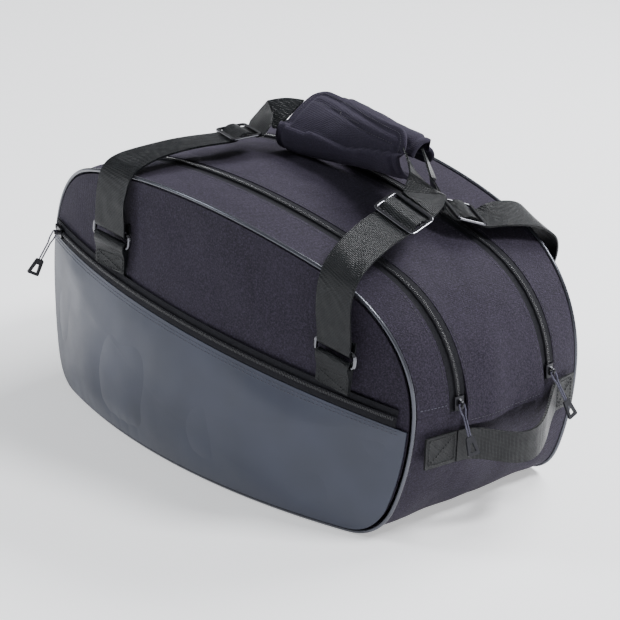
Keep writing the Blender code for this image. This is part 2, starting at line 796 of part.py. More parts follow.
def make_sliders():
    lengthwise = (
        ("front_zip", FRONT_ZIP, 0.22, SLIDER_START, (0.36, 0.04, -0.93)),
        ("main_zip", MAIN_ZIP, 0.70, SLIDER_START, (0.40, 0.25, -0.88)),
        ("main_zip_middle", MAIN_ZIP, 0.70, SECOND_SLIDER, (-0.95, 0.22, 0.22)),
    )
    legs = BAIL_HALF_WIDTH + PULL_CORD_R + 0.0009
    for prefix, zip_run, v, t, hang in lengthwise:
        at, tangent, out = zip_run.frame(t)
        across, normal = band_across(tangent, t, v)
        hole, _ = make_slider(f"{prefix}_slider", slider_place(at, -tangent, normal))
        make_pull(prefix, hole, across, hang, 0.0, legs)
        centre = zip_run.shoulder_centre() if t == SLIDER_START else at - out * zip_run.top_radius
        track = pivot(f"{prefix}_slider_axis", centre, out.cross(tangent), [f"{prefix}_slider"])
        hang_pull(prefix, hole, squared(across, Vector(hang).normalized()), hang, normal, track)
    # the pocket's zip lies level, so its pull hangs across it and loops over the bail's crown
    at, tangent, _, normal = pocket_frame(-POCKET_ZIP_REACH)
    _, crown = make_slider("pocket_zip_slider", slider_place(at, -tangent, normal, sink=0.0))
    make_pull("pocket_zip", crown, normal, POCKET_HANG, -BAIL_HALF_WIDTH - PULL_CORD_R - 0.0005, 0.0022)
    centre = pocket_arc()[0]
    track = pivot("pocket_zip_slider_axis", centre, (at - centre).cross(tangent), ["pocket_zip_slider"])
    hang_pull("pocket_zip", crown, tangent, POCKET_HANG, normal, track)


# ---------------------------------------------------------------- rings, chapes and handles

def ring_axis(rings, back):
    """Frame at the middle of a handle's ring axis, X along it, Y into the bag, Z up, and the
    place of each ring along it."""
    ends = []
    for x, z in rings:
        y = BACK_Y + WALL / 2 if back else front_y(x) - WALL / 2
        ends.append(Vector((x, y + (RING_STANDOFF if back else -RING_STANDOFF), z)))
    if back:
        ends.reverse()
    along = (ends[1] - ends[0]).normalized()
    inward = Vector((0, -1 if back else 1, 0))
    inward = (inward - along * inward.dot(along)).normalized()
    frame = Matrix((along, inward, along.cross(inward))).transposed().to_4x4()
    frame.translation = (ends[0] + ends[1]) / 2
    half = (ends[1] - ends[0]).length / 2
    return frame, {"left": half if back else -half, "right": -half if back else half}


def make_chape(name, frame, x):
    """Webbing folded round the ring's lower bar and sewn to the panel below it."""
    inside = RING_WIRE + 0.0006
    outer = inside + WEBBING_THICK
    loop = circle(outer, 9, 0.0, math.pi)
    loop += [(-outer, -0.003), (CHAPE_FACE - 2 * WEBBING_THICK, -0.012)]
    loop += [(CHAPE_FACE - 2 * WEBBING_THICK, -CHAPE_DROP), (CHAPE_FACE, -CHAPE_DROP)]
    loop += [(CHAPE_FACE, -0.004)]
    place = frame @ Matrix.Translation((x, 0, 0)) @ CYCLE
    plate(name, [loop, circle(inside, 12)], WEBBING / 2, WEB, place)


def make_ring(name, frame, x):
    width = RING_INSIDE + 2 * RING_WIRE
    loop = rounded_rectangle(width, RING_RISE, 0.0042, 3, (0, RING_RISE / 2))
    tube(name, [(px + x, 0.0, pz) for px, pz in loop], RING_WIRE, METAL, True, frame, sides=2)


def smooth_route(stops, spacing):
    """Points of (place, width direction) along a Catmull-Rom curve through the stops."""
    found = []
    last = len(stops) - 1
    for i in range(last):
        p0, p1, p2, p3 = (Vector(stops[max(0, min(last, k))][0]) for k in (i - 1, i, i + 1, i + 2))
        w1, w2 = Vector(stops[i][1]), Vector(stops[i + 1][1])
        steps = max(1, round((p2 - p1).length / spacing))
        for k in range(steps):
            t = k / steps
            place = 0.5 * (
                2 * p1 + (p2 - p0) * t + (2 * p0 - 5 * p1 + 4 * p2 - p3) * t**2
                + (3 * p1 - p0 - 3 * p2 + p3) * t**3
            )
            found.append((place, w1.lerp(w2, t)))
    found.append((Vector(stops[-1][0]), Vector(stops[-1][1])))
    return found


def squared(width, direction):
    width = Vector(width)
    return (width - direction * width.dot(direction)).normalized()


def glide_frame(at, direction, width):
    """Frame of a tri-glide: X across the webbing, Y along it, Z off its face."""
    direction = Vector(direction).normalized()
    width = squared(width, direction)
    frame = Matrix((width, direction, width.cross(direction))).transposed().to_4x4()
    frame.translation = Vector(at)
    return frame


def glide_weave(frame):
    """The webbing's middle line through a tri-glide: under its ends and over its centre bar."""
    lift = (GLIDE_THICK + WEBBING_THICK) / 2 + 0.0005
    span = GLIDE_WIDTH / 2 + 0.004
    stops = []
    for i in range(GLIDE_STEPS + 1):
        y = -span + 2 * span * i / GLIDE_STEPS
        flat = GLIDE_CENTRE_BAR / 2 + 0.0008
        far = GLIDE_WIDTH / 2 - GLIDE_END_BAR - 0.0012
        share = min(1.0, max(0.0, (far - abs(y)) / (far - flat)))
        share = share * share * (3 - 2 * share)
        stops.append(frame @ Vector((0, y, -lift + 2 * lift * share)))
    return stops


def make_glide(name, frame):
    window = (GLIDE_WIDTH - 2 * GLIDE_END_BAR - GLIDE_CENTRE_BAR) / 2
    middle = (GLIDE_CENTRE_BAR + window) / 2
    loops = [rounded_rectangle(GLIDE_LENGTH, GLIDE_WIDTH, 0.005, 3)]
    for side in (-1, 1):
        hole = rounded_rectangle(GLIDE_LENGTH - 0.0066, window, 0.0015, 2, (0, side * middle))
        loops.append(hole)
    plate(name, loops, GLIDE_THICK / 2, METAL, frame, bevel=0.0006)


def make_strap(name, frame, x, before, glide, after):
    """Webbing from a ring's upper bar through its tri-glide to the pad's end."""
    reach = RING_WIRE + 0.0007 + WEBBING_THICK / 2
    bar = Vector((x, 0, RING_RISE))
    along = frame.to_3x3() @ Vector((1, 0, 0))
    points = [(frame @ (bar + Vector((0, reach, 0.008))), along)]
    for y, z in circle(reach, 7, 0.0, -math.pi):
        points.append((frame @ (bar + Vector((0, y, z))), along))
    points.append((frame @ (bar + Vector((0, -reach, 0.008))), along))
    lead = points.pop()
    at, direction, width = glide
    hold = glide_frame(at, direction, width)
    weave = glide_weave(hold)
    across = hold.to_3x3() @ Vector((1, 0, 0))
    points += smooth_route([lead] + before + [(weave[0], across)], 0.011)[:-1]
    points += [(spot, across) for spot in weave[:-1]]
    points += smooth_route([(weave[-1], across)] + after, 0.011)
    rows = []
    for i, (spot, width) in enumerate(points):
        width = width.normalized()
        if i < len(points) - 1:
            ahead = points[i + 1][0] - points[max(i - 1, 0)][0]
            width = squared(width, ahead.normalized())
        rows.append([spot - width * WEBBING / 2, spot + width * WEBBING / 2])
    sheet(name, rows, (0, 0, 1), WEBBING_THICK, WEB, offset=0.0)
    return hold


# Outer face of each pad across its left and right ends, from its far edge to its near one.
FRONT_PAD = (
    (-0.030, 0.131),
    ((0.0600, 0.3195), (0.0400, 0.3105), (0.0220, 0.2985), (0.0120, 0.2870), (0.0140, 0.2765),
     (0.0280, 0.2725)),
    ((0.0170, 0.3290), (0.0095, 0.3170), (0.0085, 0.3040), (0.0140, 0.2925), (0.0230, 0.2865),
     (0.0335, 0.2840)),
)
BACK_PAD = (
    (-0.028, 0.123),
    ((0.1000, 0.2740), (0.0985, 0.2850), (0.0930, 0.2950), (0.0830, 0.2990), (0.0740, 0.2950),
     (0.0690, 0.2860)),
    ((0.0640, 0.2850), (0.0610, 0.2950), (0.0555, 0.3035), (0.0465, 0.3070), (0.0385, 0.3035),
     (0.0335, 0.2965)),
)

# Each strap: stops from its ring, the tri-glide's place, direction and width, and stops to its pad.
ROUTES = {
    "front_left": (
        [((-0.0950, -0.1325, 0.232), (1, 0, -0.1)), ((-0.0920, -0.1260, 0.2600), (1, 0.1, 0)),
         ((-0.0850, -0.1020, 0.2710), (1, 0.1, 0.1)), ((-0.0740, -0.0650, 0.2770), (1, -0.1, 0.1))],
        ((-0.0540, -0.0165, 0.2840), (0.33, 0.93, 0.10), (0.93, -0.33, 0.1)),
        [((-0.0555, 0.0120, 0.2925), (0.6, -0.75, -0.25)),
         ((-0.0450, 0.0240, 0.2970), (0.15, -0.83, -0.52)), ((-0.0322, 0.0270, 0.2980), (0, -0.84, -0.54))],
    ),
    "front_right": (
        [((0.1800, -0.1140, 0.208), (1, 0.1, -0.1)), ((0.1797, -0.1115, 0.2310), (1, 0.1, -0.2)),
         ((0.1787, -0.0970, 0.2500), (1, 0.05, -0.3)), ((0.1775, -0.0640, 0.2665), (1, 0, -0.35))],
        ((0.1765, -0.0320, 0.2770), (-0.05, 0.96, 0.26), (0.936, 0, -0.353)),
        [((0.1752, -0.0070, 0.2838), (0.936, 0, -0.353)), ((0.1660, 0.0050, 0.2885), (0.8, 0.3, -0.5)),
         ((0.1500, 0.0110, 0.2940), (0.4, 0.5, -0.75)), ((0.1340, 0.0150, 0.2990), (0, 0.45, -0.9))],
    ),
    "back_left": (
        [((-0.0950, 0.1435, 0.225), (-1, 0, 0)), ((-0.0900, 0.1430, 0.250), (-1, 0, 0)),
         ((-0.0800, 0.1270, 0.2680), (-1, -0.3, -0.1))],
        ((-0.0600, 0.1030, 0.2760), (0.72, -0.67, 0.15), (-0.69, -0.72, 0)),
        [((-0.0400, 0.0890, 0.2830), (-0.25, -0.95, 0.1)), ((-0.0302, 0.0850, 0.2870), (0, -1, 0.1))],
    ),
    "back_right": (
        [((0.1790, 0.1430, 0.200), (-1, 0, 0.1)), ((0.1830, 0.1410, 0.2240), (-1, 0, 0.3)),
         ((0.1800, 0.1200, 0.2430), (-1, 0.15, 0.35)), ((0.1720, 0.0880, 0.2475), (-0.93, 0.3, 0.2))],
        ((0.1600, 0.0610, 0.2525), (-0.41, -0.86, 0.30), (-0.913, 0.40, 0.07)),
        [((0.1440, 0.0430, 0.2650), (-0.8, 0.45, -0.3)), ((0.1350, 0.0420, 0.2780), (-0.45, 0.6, -0.65)),
         ((0.1262, 0.0475, 0.2905), (0, 0.5, -0.85))],
    ),
}


def make_pad(name, ends):
    (x_left, x_right), left, right = ends
    rows = []
    for i in range(9):
        share = i / 8
        ease = share * share * (3 - 2 * share)
        row = []
        for (ya, za), (yb, zb) in zip(left, right):
            row.append((x_left + (x_right - x_left) * share, ya + (yb - ya) * ease, za + (zb - za) * ease))
        rows.append(row)
    sheet(name, rows, (0, 0, 1), PAD_THICK, PAD_CLOTH)


def make_handle(handle, rings, section):
    frame, places = ring_axis(rings, handle == "back")
    for side, x in places.items():
        make_chape(f"{handle}_{side}_chape", frame, x)
        make_ring(f"{handle}_{side}_ring", frame, x)
        before, glide, after = ROUTES[f"{handle}_{side}"]
        hold = make_strap(f"{handle}_{side}_strap", frame, x, before, glide, after)
        make_glide(f"{handle}_{side}_tri_glide", hold)
    make_pad(f"{handle}_handle_pad", section)
    along = frame.col[0].to_3d()
    rings = [f"{handle}_{side}_ring" for side in places]
    lower = pivot(f"{handle}_rings_axis", frame.translation, along, rings)
    pieces = [f"{handle}_{side}_{piece}" for side in places for piece in ("strap", "tri_glide")]
    pieces.append(f"{handle}_handle_pad")
    pivot(f"{handle}_handle_axis", frame @ Vector((0, 0, RING_RISE)), along, pieces, lower)


# ---------------------------------------------------------------- grab handle


def make_grab_handle():
    """Webbing over the +X end: two sewn ends on the wall and a drooping span between them."""
    half = GRAB_WIDTH / 2

    def strip(name, stops):
        rows = [[(x, y, z - half), (x, y, z + half)] for x, y, z in stops]
        return sheet(name, rows, (1, 0, 0), GRAB_THICK, WEB, offset=0.0)

    (y_front, z_front), (y_back, z_back) = GRAB_ENDS
    x_wall = GRAB_WALL + GRAB_THICK / 2
    front, back = y_front + GRAB_PATCH[0], y_back - GRAB_PATCH[1]
    strip("grab_handle_front_end", [(x_wall - 0.003, y_front, z_front), (x_wall, front, z_front)])
    strip("grab_handle_back_end", [(x_wall, back, z_back), (x_wall - 0.0035, y_back, z_back)])
    stops = []
    for i in range(17):
        share = i / 16
        arch = math.sin(math.pi * share**1.3) ** 1.35 if 0 < i < 16 else 0.0
        y = front + CLEAR + (back - front - 2 * CLEAR) * share
        z = z_front + (z_back - z_front) * share - GRAB_SAG * arch
        stops.append((x_wall + 0.0006 + GRAB_BOW * arch, y, z))
    strip("grab_handle_span", stops)


def settle():
    """Moves everything so that the origin lies under the middle of the bounding box."""
    shift = Matrix.Translation((BOX_SHIFT_X, BOX_SHIFT_Y, 0))
    for obj in bpy.data.objects:
        if obj.parent is None:
            obj.matrix_world = shift @ obj.matrix_world


make_upper_band()
make_base()
make_panels()
make_piping()
make_inside()
make_zips()
make_pocket()
make_sliders()
make_handle("front", FRONT_RINGS, FRONT_PAD)
make_handle("back", BACK_RINGS, BACK_PAD)
make_grab_handle()
settle()
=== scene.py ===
"""Looks of the padel racket bag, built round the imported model.

Metres, +Z up, the bag along X with its pocket facing -Y. Cloth walls, webbing and piping are
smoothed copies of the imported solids, and the walls get soft folds. The padded wraps are remade
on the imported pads' outer faces. Zip teeth and stitching are laid on all of these. The metal
pieces and zip pulls stay as packed and get better materials.
"""

import json
import math

import bmesh
import bpy
import numpy as np
from mathutils import Matrix, Vector, noise
from mathutils.bvhtree import BVHTree
from mathutils.kdtree import KDTree


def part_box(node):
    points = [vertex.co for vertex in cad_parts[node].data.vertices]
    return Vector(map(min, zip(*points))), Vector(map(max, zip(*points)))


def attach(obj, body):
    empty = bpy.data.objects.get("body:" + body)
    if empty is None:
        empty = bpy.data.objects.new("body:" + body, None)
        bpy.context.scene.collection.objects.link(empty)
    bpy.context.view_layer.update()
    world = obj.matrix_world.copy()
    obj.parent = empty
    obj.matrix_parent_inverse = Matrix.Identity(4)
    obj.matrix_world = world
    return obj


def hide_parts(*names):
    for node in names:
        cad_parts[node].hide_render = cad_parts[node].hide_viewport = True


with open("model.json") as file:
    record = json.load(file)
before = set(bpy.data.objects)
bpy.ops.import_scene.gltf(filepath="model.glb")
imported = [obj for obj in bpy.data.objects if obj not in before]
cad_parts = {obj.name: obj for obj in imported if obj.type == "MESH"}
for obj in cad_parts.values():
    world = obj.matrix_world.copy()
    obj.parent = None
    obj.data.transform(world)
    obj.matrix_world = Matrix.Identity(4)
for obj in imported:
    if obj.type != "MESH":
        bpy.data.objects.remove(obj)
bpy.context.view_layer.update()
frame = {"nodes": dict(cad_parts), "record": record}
NODES = frame["nodes"]

# Camera, at a product photograph's angle and distance.
AZIMUTH, ELEVATION, ROLL = math.radians(46.47), math.radians(22.18), math.radians(2.24)
CAMERA_TARGET = Vector((0.0206, -0.0041, 0.1327))
CAMERA_DISTANCE = 2.6
FIELD_OF_VIEW = math.radians(12.411)

# Cloth and stitching.
RIM_ANGLE = math.radians(40)  # a sharper edge than this is the rim of a sheet
FOLD_SIZE, POCKET_FOLD_SIZE = 0.055, 0.085
FOLD_FADE = (0.004, 0.030)  # folds grow over this distance from a zip, a chape or the piping
STITCH = (0.0026, 0.0012, 0.00032)  # length, gap and radius of the thread
POCKET_STITCH = (0.0030, 0.0013, 0.00034)
CROSS_STITCH = (0.0024, 0.0009, 0.00036)
PAD_STITCH = (0.0024, 0.0010, 0.00028)
STITCH_SIDES = 6
LEAST_STITCH = 0.4  # of its length: a stitch that the surface shortens more is left out
TOPSTITCH_INSET = 0.0030
SEAM_ANGLE = 0.030  # where the front strip is sewn to the base, seen from the lengthwise middle line
HEM_INSET = 0.0045
POCKET_ROWS = (0.0022, 0.0052)  # below the pocket's top edge
POCKET_ROW_END = 0.006  # from the pocket's ends
CHAPE_CROSS = (0.004, 0.0025, 0.0150)  # in from the sides, and its bottom and top
GRAB_CROSS = 0.003  # in from every side of a grab handle's end

# Zip coils.
TOOTH_PITCH = 0.0016
TOOTH_HALF_WIDTH, TOOTH_R, TOOTH_SKEW = 0.0021, 0.00048, 0.00030
INNER_EDGE = 0.0005  # a stringer's points this close to its inner edge belong to that edge
LEAST_CUT = 4  # a cut with fewer points has missed the piece

SEAM_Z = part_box("top_front_strip")[0].z
MIDDLE_X = sum(corner.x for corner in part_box("base_panel")) / 2
MIDDLE_LINE = Vector((MIDDLE_X, 0, SEAM_Z))


# ---------------------------------------------------------------- materials

WEBBING_WAVE = 14.0  # height of the webbing's slow ripple, in heights of its ribs


class Look:
    """A Principled material with its node tree at hand."""

    def __init__(self, name, roughness, metallic=0.0):
        self.made = bpy.data.materials.new(name)
        self.made.use_nodes = True
        self.tree = self.made.node_tree
        self.shader = self.tree.nodes["Principled BSDF"]
        self.shader.inputs["Roughness"].default_value = roughness
        self.shader.inputs["Metallic"].default_value = metallic
        self.place = self.tree.nodes.new("ShaderNodeTexCoord").outputs["Object"]

    def set(self, **values):
        for name, value in values.items():
            self.shader.inputs[name.replace("_", " ")].default_value = value

    def node(self, kind, **inputs):
        made = self.tree.nodes.new(kind)
        for name, value in inputs.items():
            socket = made.inputs[name.replace("_", " ")]
            if isinstance(value, bpy.types.NodeSocket):
                self.tree.links.new(value, socket)
            else:
                socket.default_value = value
        return made

    def noise(self, size, detail=3.0, roughness=0.6):
        """Noise with features about this many metres across."""
        made = self.node("ShaderNodeTexNoise", Vector=self.place, Scale=1 / size)
        made.inputs["Detail"].default_value = detail
        made.inputs["Roughness"].default_value = roughness
        return made.outputs["Fac"]

    def ramp(self, factor, stops):
        made = self.node("ShaderNodeValToRGB", Fac=factor)
        elements = made.color_ramp.elements
        while len(elements) < len(stops):
            elements.new(0.5)
        for element, (at, colour) in zip(elements, stops):
            element.position = at
            element.color = (*colour, 1.0)
        return made.outputs["Color"]

    def mix(self, factor, first, second):
        made = self.tree.nodes.new("ShaderNodeMix")
        made.data_type = "RGBA"
        sockets = (made.inputs["Factor"], made.inputs[6], made.inputs[7])
        for socket, value in zip(sockets, (factor, first, second)):
            if isinstance(value, bpy.types.NodeSocket):
                self.tree.links.new(value, socket)
            elif isinstance(value, tuple):
                socket.default_value = (*value, 1.0)
            else:
                socket.default_value = value
        return made.outputs[2]

    def maths(self, operation, first, second):
        made = self.tree.nodes.new("ShaderNodeMath")
        made.operation = operation
        for socket, value in zip(made.inputs, (first, second)):
            if isinstance(value, bpy.types.NodeSocket):
                self.tree.links.new(value, socket)
            else:
                socket.default_value = value
        return made.outputs[0]

    def wave(self, size, direction):
        made = self.node("ShaderNodeTexWave", Vector=self.place, Scale=0.32 / size)
        made.bands_direction = direction
        return made.outputs["Fac"]

    def weave(self, size):
        """Threads crossing along the three axes, so that a face of any direction shows them."""
        threads = [self.wave(size, direction) for direction in "XYZ"]
        return self.maths("ADD", self.maths("ADD", threads[0], threads[1]), threads[2])

    def colour(self, socket):
        self.tree.links.new(socket, self.shader.inputs["Base Color"])

    def rough(self, factor, low, high):
        made = self.node("ShaderNodeMapRange", Value=factor)
        made.inputs["To Min"].default_value = low
        made.inputs["To Max"].default_value = high
        self.tree.links.new(made.outputs["Result"], self.shader.inputs["Roughness"])

    def bump(self, height, distance, strength=1.0):
        made = self.node("ShaderNodeBump", Height=height, Distance=distance, Strength=strength)
        self.tree.links.new(made.outputs["Normal"], self.shader.inputs["Normal"])


def melange(name, dark, light, grain=0.0016, sheen=0.05, weave=0.0012):
    """Woven polyester of two yarns: a speckle of light threads over a dark ground."""
    look = Look(name, 0.85)
    speckle = look.noise(grain, 4.0, 0.75)
    between = tuple((2 * d + l) / 3 for d, l in zip(dark, light))
    base = look.ramp(speckle, [(0.40, dark), (0.52, between), (0.66, light)])
    wear = look.noise(0.05, 3.0)
    look.colour(look.mix(look.maths("MULTIPLY", wear, 0.35), base, light))
    look.rough(speckle, 0.75, 0.95)
    threads = look.maths("MULTIPLY", look.weave(weave), 0.35)
    look.bump(look.maths("ADD", threads, speckle), 0.0004, 0.7)
    look.set(Sheen_Weight=sheen, Sheen_Roughness=0.45)
    look.set(Sheen_Tint=(0.78, 0.72, 0.95, 1.0), Specular_IOR_Level=0.25)
    return look.made


def coated():
    """Smooth coated cloth of the pocket, with a faint orange peel."""
    look = Look("coated pocket cloth", 0.42)
    broad = look.noise(0.09, 2.0)
    look.colour(look.ramp(broad, [(0.30, (0.024, 0.029, 0.048)), (0.72, (0.037, 0.044, 0.072))]))
    fine = look.noise(0.0011, 2.0)
    look.rough(look.noise(0.02, 3.0), 0.36, 0.50)
    look.bump(fine, 0.00012, 0.5)
    look.set(Coat_Weight=0.1, Coat_Roughness=0.3, Specular_IOR_Level=0.4)
    return look.made


def webbing(name, dark, light):
    """Dense satin webbing: ribs along and across, lighter where the ribs catch the light."""
    look = Look(name, 0.36)
    ribs = look.weave(0.0013)
    grain = look.noise(0.0014, 3.0, 0.7)
    base = look.ramp(grain, [(0.32, dark), (0.70, light)])
    look.colour(look.mix(look.maths("MULTIPLY", look.noise(0.02, 2.0), 0.3), base, light))
    look.rough(grain, 0.24, 0.40)
    waves = look.maths("MULTIPLY", look.noise(0.018, 1.0), WEBBING_WAVE)
    look.bump(look.maths("ADD", look.maths("ADD", ribs, grain), waves), 0.00030, 0.75)
    look.set(Specular_IOR_Level=0.30)
    return look.made


def metal(name, colour, roughness, metallic=1.0):
    """Plated, enamelled or metallised surface with faint smudges."""
    look = Look(name, roughness, metallic)
    smudge = look.noise(0.006, 4.0)
    darker = tuple(c * 0.72 for c in colour)
    look.colour(look.mix(look.maths("MULTIPLY", smudge, 0.6), colour, darker))
    look.rough(smudge, roughness * 0.75, roughness * 1.35)
    look.bump(look.noise(0.0008, 2.0), 0.00002, 0.4)
    return look.made


def plastic(name, colour, roughness):
    """Plain moulded plastic or waxed thread."""
    look = Look(name, roughness)
    grain = look.noise(0.0007, 2.0)
    lighter = tuple(c * 1.5 for c in colour)
    look.colour(look.mix(look.maths("MULTIPLY", look.noise(0.004, 3.0), 0.5), colour, lighter))
    look.rough(grain, roughness * 0.85, roughness * 1.15)
    look.bump(grain, 0.00005, 0.5)
    return look.made


LOOKS = {
    "fabric": melange("melange polyester", (0.0036, 0.0027, 0.0060), (0.043, 0.0345, 0.0580)),
    "pad_cloth": melange(
        "pad cloth", (0.0105, 0.0084, 0.0165), (0.032, 0.0260, 0.0470), grain=0.0012, sheen=0.06
    ),
    "pocket_cloth": coated(),
    "piping": metal("coated piping", (0.085, 0.088, 0.105), 0.24, 0.6),
    "lining": melange(
        "lining", (0.03, 0.03, 0.036), (0.07, 0.07, 0.08), grain=0.002, sheen=0.02
    ),
    "base_board": plastic("base board", (0.03, 0.03, 0.032), 0.6),
    "zip_tape": melange(
        "zip tape", (0.004, 0.004, 0.006), (0.012, 0.012, 0.016),
        grain=0.0010, sheen=0.02, weave=0.0008,
    ),
    "zip_teeth": plastic("nylon zip teeth", (0.016, 0.016, 0.019), 0.25),
    "webbing": webbing("satin webbing", (0.0015, 0.0019, 0.0026), (0.0050, 0.0062, 0.0078)),
    "grab_webbing": webbing("grab webbing", (0.0024, 0.0027, 0.0034), (0.0100, 0.0108, 0.0125)),
    "binding": webbing("binding tape", (0.0014, 0.0016, 0.0024), (0.0042, 0.0050, 0.0068)),
    "gunmetal": metal("gunmetal", (0.15, 0.15, 0.165), 0.15),
    "slider_metal": metal("black enamel", (0.016, 0.016, 0.020), 0.28, 0.6),
    "pull_cord": melange(
        "pull cord", (0.045, 0.045, 0.066), (0.15, 0.145, 0.20),
        grain=0.0006, sheen=0.1, weave=0.0005,
    ),
    "pull_tag": plastic("pull tag", (0.016, 0.016, 0.020), 0.38),
    "thread": plastic("sewing thread", (0.022, 0.020, 0.030), 0.5),
    "light_thread": plastic("light sewing thread", (0.060, 0.060, 0.085), 0.5),
    "web_thread": plastic("webbing thread", (0.005, 0.0055, 0.0065), 0.5),
}


# ---------------------------------------------------------------- pieces


def add_piece(name, mesh, look, body="bag", replaces=()):
    """An object of this mesh, with its look and material slot, riding on a body of the frame."""
    obj = bpy.data.objects.new(name, mesh)
    bpy.context.scene.collection.objects.link(obj)
    mesh.materials.clear()
    mesh.materials.append(LOOKS[look])
    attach(obj, body)
    if replaces:
        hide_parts(*replaces)
    return obj


def body_of(node):
    """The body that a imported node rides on."""
    for body, members in frame["record"]["behaviour"]["bodies"].items():
        if node in members:
            return body
    raise ValueError(f"no body holds {node}")


def clean_form(node):
    """The node's mesh with its corners welded, its rim edges marked and its triangles paired."""
    source = NODES[node].data
    form = bmesh.new()
    spots = [form.verts.new(vertex.co) for vertex in source.vertices]
    for polygon in source.polygons:
        try:
            form.faces.new([spots[i] for i in polygon.vertices])
        except ValueError:
            continue
    bmesh.ops.remove_doubles(form, verts=form.verts, dist=2e-6)
    bmesh.ops.recalc_face_normals(form, faces=form.faces)
    for edge in form.edges:
        edge.seam = len(edge.link_faces) == 2 and edge.calc_face_angle() > RIM_ANGLE
    bmesh.ops.join_triangles(
        form,
        faces=form.faces,
        cmp_seam=True,
        angle_face_threshold=math.radians(30),
        angle_shape_threshold=math.radians(80),
    )
    return form


def smoothed(node, levels, crease):
    """Subdivided mesh of a node. Its rims keep their line by a crease."""
    form = clean_form(node)
    layer = form.edges.layers.float.new("crease_edge")
    for edge in form.edges:
        edge[layer] = crease if edge.seam else 0.0
    mesh = bpy.data.meshes.new(node)
    form.to_mesh(mesh)
    form.free()
    holder = bpy.data.objects.new("holder", mesh)
    bpy.context.scene.collection.objects.link(holder)
    modifier = holder.modifiers.new("smooth", "SUBSURF")
    modifier.levels = modifier.render_levels = levels
    graph = bpy.context.evaluated_depsgraph_get()
    made = bpy.data.meshes.new_from_object(holder.evaluated_get(graph))
    bpy.data.objects.remove(holder, do_unlink=True)
    made.shade_smooth()
    made.set_sharp_from_angle(angle=math.radians(50))
    return made


def tree_of_points(points):
    tree = KDTree(len(points))
    for i, point in enumerate(points):
        tree.insert(point, i)
    tree.balance()
    return tree


def fade(distance, near, far):
    """0 up to near, 1 from far on, and smooth between them."""
    share = min(1.0, max(0.0, (distance - near) / (far - near)))
    return share * share * (3 - 2 * share)


def tree_of_mesh(mesh):
    points = [vertex.co for vertex in mesh.vertices]
    return BVHTree.FromPolygons(points, [polygon.vertices for polygon in mesh.polygons])


def fixed_points():
    """What the walls stay flat beside: zips, chapes, grab handle ends, piping and sliders."""
    sewn = ("stringer", "chape", "_end", "piping", "slider")
    names = [name for name in NODES if any(word in name for word in sewn)]
    return tree_of_points([vertex.co for name in names for vertex in NODES[name].data.vertices])


FIXED = fixed_points()


def fold(mesh, height, size, offset):
    """Soft folds: smooth noise moves the surface along its normal, but not beside what is sewn.

    The offset picks another stretch of the noise. Nothing goes below the floor.
    """
    spots = [vertex.co.copy() for vertex in mesh.vertices]
    normals = [vertex.normal.copy() for vertex in mesh.vertices]
    for vertex, spot, normal in zip(mesh.vertices, spots, normals):
        share = fade(FIXED.find(spot)[2], *FOLD_FADE)
        if share == 0.0:
            continue
        at = Vector((spot.x, spot.y, spot.z * 0.7)) / size + Vector((offset, 0, 0))
        wave = noise.noise(at) + 0.45 * noise.noise(at * 2.3)
        vertex.co = spot + normal * wave * height * share
        vertex.co.z = max(vertex.co.z, 0.0)


def make_walls():
    """Panels and strips: smoothed, with folds that fade out at their seams."""
    walls = {}
    plan = (
        ("top_front_strip", 2, 0.0012), ("top_centre_panel", 3, 0.0028), ("top_back_strip", 2, 0.0016),
        ("base_panel", 3, 0.0030), ("front_panel", 3, 0.0016), ("back_panel", 3, 0.0030),
    )
    for node, levels, height in plan:
        mesh = smoothed(node, levels, 1.0)
        fold(mesh, height, FOLD_SIZE, 7.0)
        walls[node] = add_piece(f"{node}_cloth", mesh, "fabric", replaces=[node])
    mesh = smoothed("pocket_panel", 3, 1.0)
    fold(mesh, 0.0026, POCKET_FOLD_SIZE, 3.0)
    walls["pocket_panel"] = add_piece(
        "pocket_cloth", mesh, "pocket_cloth", replaces=["pocket_panel"]
    )
    return walls


# ---------------------------------------------------------------- lines across the model


def cut(mesh, origin, normal):
    """Points where a plane crosses the mesh's edges."""
    spots = np.empty(len(mesh.vertices) * 3)
    mesh.vertices.foreach_get("co", spots)
    spots = spots.reshape(-1, 3)
    ends = np.empty(len(mesh.edges) * 2, int)
    mesh.edges.foreach_get("vertices", ends)
    ends = ends.reshape(-1, 2)
    height = (spots - np.array(origin)) @ np.array(normal)
    low, high = height[ends[:, 0]], height[ends[:, 1]]
    crossing = (low < 0) != (high < 0)
    share = (low / (low - high + 1e-30))[crossing, None]
    return spots[ends[crossing, 0]] * (1 - share) + spots[ends[crossing, 1]] * share


def reach_of(points, out):
    """How far points lie from the bag's lengthwise middle line, in the direction out."""
    return (points - np.array(MIDDLE_LINE)) @ np.array(out)


def fan_cut(mesh, angle):
    """The cut by a half plane from the lengthwise middle line: 0 towards +X, pi towards -X."""
    out = Vector((math.cos(angle), 0, math.sin(angle)))
    points = cut(mesh, MIDDLE_LINE, (-math.sin(angle), 0, math.cos(angle)))
    return points[reach_of(points, out) > 0], out


def even(points, spacing):
    """The line through the points, walked in even steps."""
    lengths = [0.0]
    for a, b in zip(points, points[1:]):
        lengths.append(lengths[-1] + (b - a).length)
    count = max(1, round(lengths[-1] / spacing))
    found, i = [], 0
    for k in range(count + 1):
        goal = lengths[-1] * k / count
        while i < len(lengths) - 2 and lengths[i + 1] < goal:
            i += 1
        span = lengths[i + 1] - lengths[i]
        found.append(points[i].lerp(points[i + 1], (goal - lengths[i]) / span if span else 0.0))
    return found


def relaxed(points, rounds=2):
    """The line with its small wobbles smoothed out and its ends kept."""
    for _ in range(rounds):
        inner = [(a + b * 2 + c) / 4 for a, b, c in zip(points, points[1:], points[2:])]
        points = [points[0]] + inner + [points[-1]]
    return points


# ---------------------------------------------------------------- stitching


